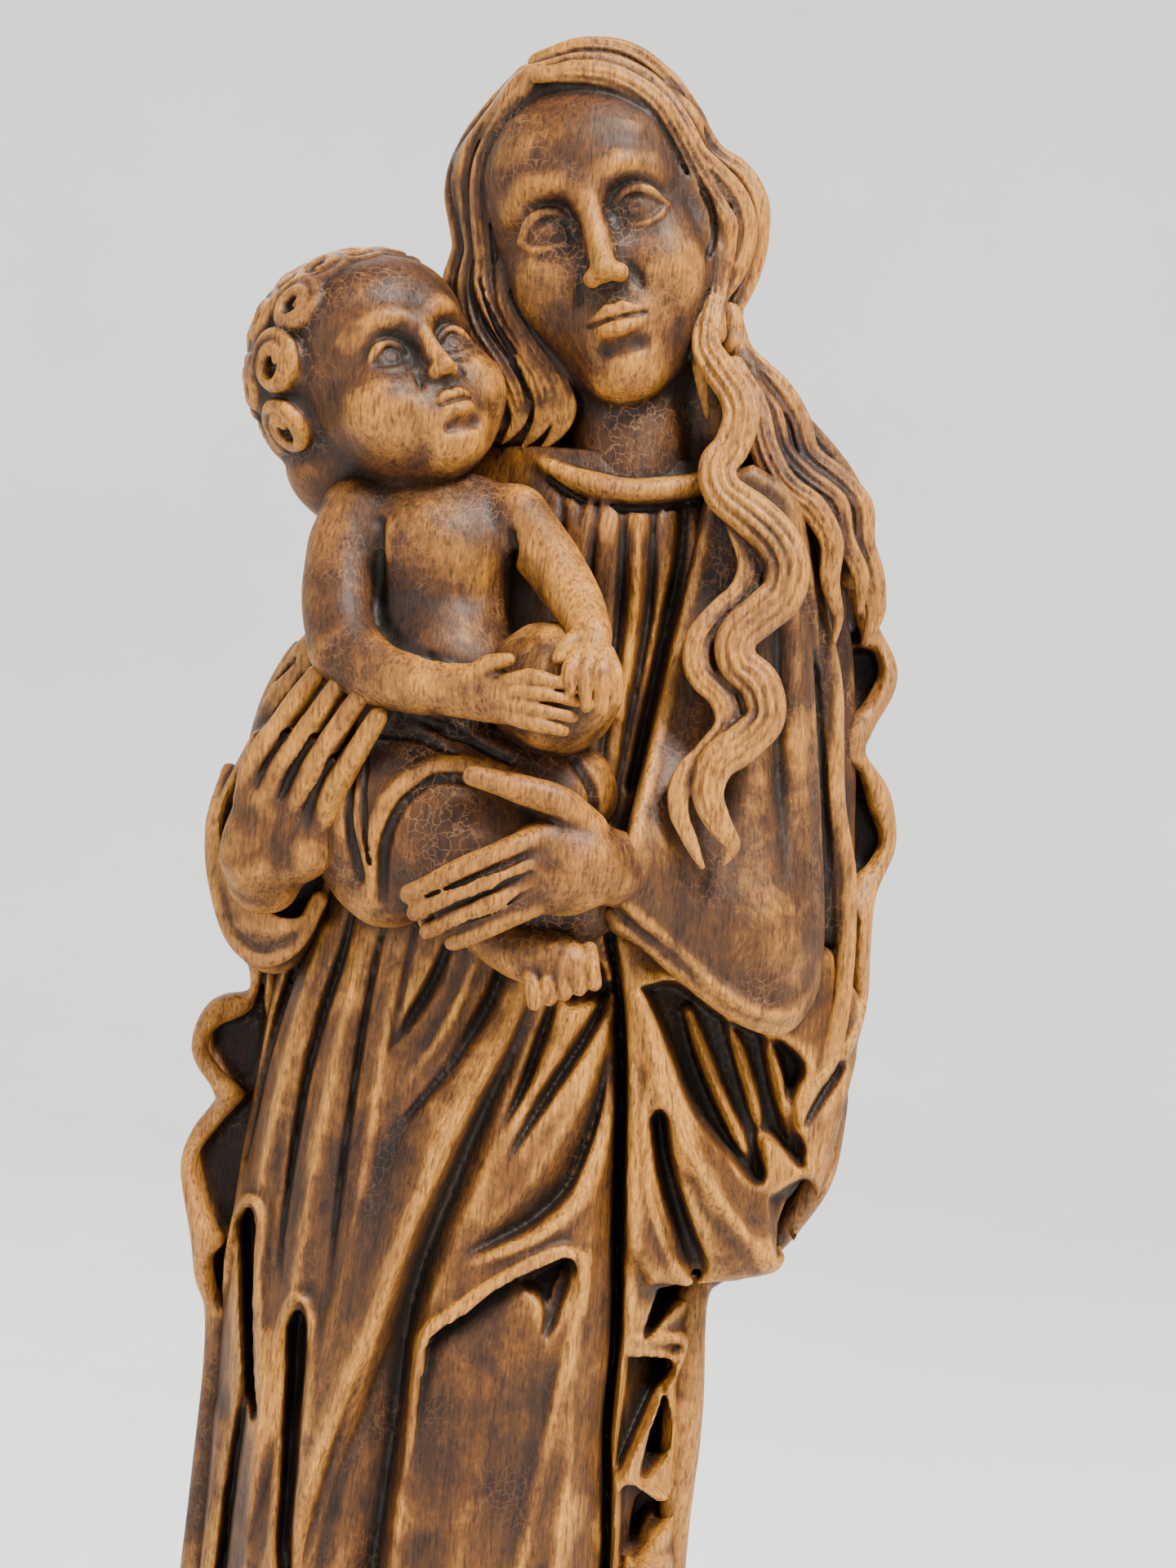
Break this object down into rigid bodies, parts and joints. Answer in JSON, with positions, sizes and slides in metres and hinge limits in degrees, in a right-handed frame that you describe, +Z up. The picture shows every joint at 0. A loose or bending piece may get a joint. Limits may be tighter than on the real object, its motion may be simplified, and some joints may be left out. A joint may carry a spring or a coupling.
{
  "type": "madonna statue",
  "caption": "Standing carved wooden mother holding a child on one arm, in a long pleated robe and mantle, on a low plinth with a keyhole hanger at the back.",
  "frame": {"origin": "middle of the plinth's underside, centre of the footprint", "axes": "+Z up through the figure, the figure faces -Y, +Y towards the wall behind, +X to the viewer's right"},
  "size_m": [0.148, 0.088, 0.4999],
  "materials": {
    "robe_wood": "waxed satin, dark stain in the recesses",
    "mantle_wood": "waxed satin, dark stain",
    "skin_wood": "waxed satin, rubbed lighter",
    "plinth_wood": "waxed satin",
    "dowel_wood": "bare beech",
    "hanger_steel": "zinc plated"
  },
  "bodies": {
    "root": {"plinth": "plinth_wood", "back_board": "mantle_wood", "robe_block": "robe_wood", "left_sleeve": "mantle_wood", "right_cuff": "mantle_wood", "head_block": "skin_wood", "child_head": "skin_wood", "child_body": "skin_wood", "ball": "skin_wood", "right_hand": "skin_wood", "left_hand": "skin_wood", "child_foot": "skin_wood", "board_dowels": "dowel_wood", "sleeve_dowels": "dowel_wood", "cuff_dowel": "dowel_wood", "child_dowels": "dowel_wood", "child_neck_dowel": "dowel_wood", "right_wrist_dowel": "dowel_wood", "left_wrist_dowel": "dowel_wood", "ball_dowel": "dowel_wood", "foot_dowel": "dowel_wood", "plinth_screws": "hanger_steel", "hanger_plate": "hanger_steel", "hanger_screws": "hanger_steel"}
  },
  "joints": []
}
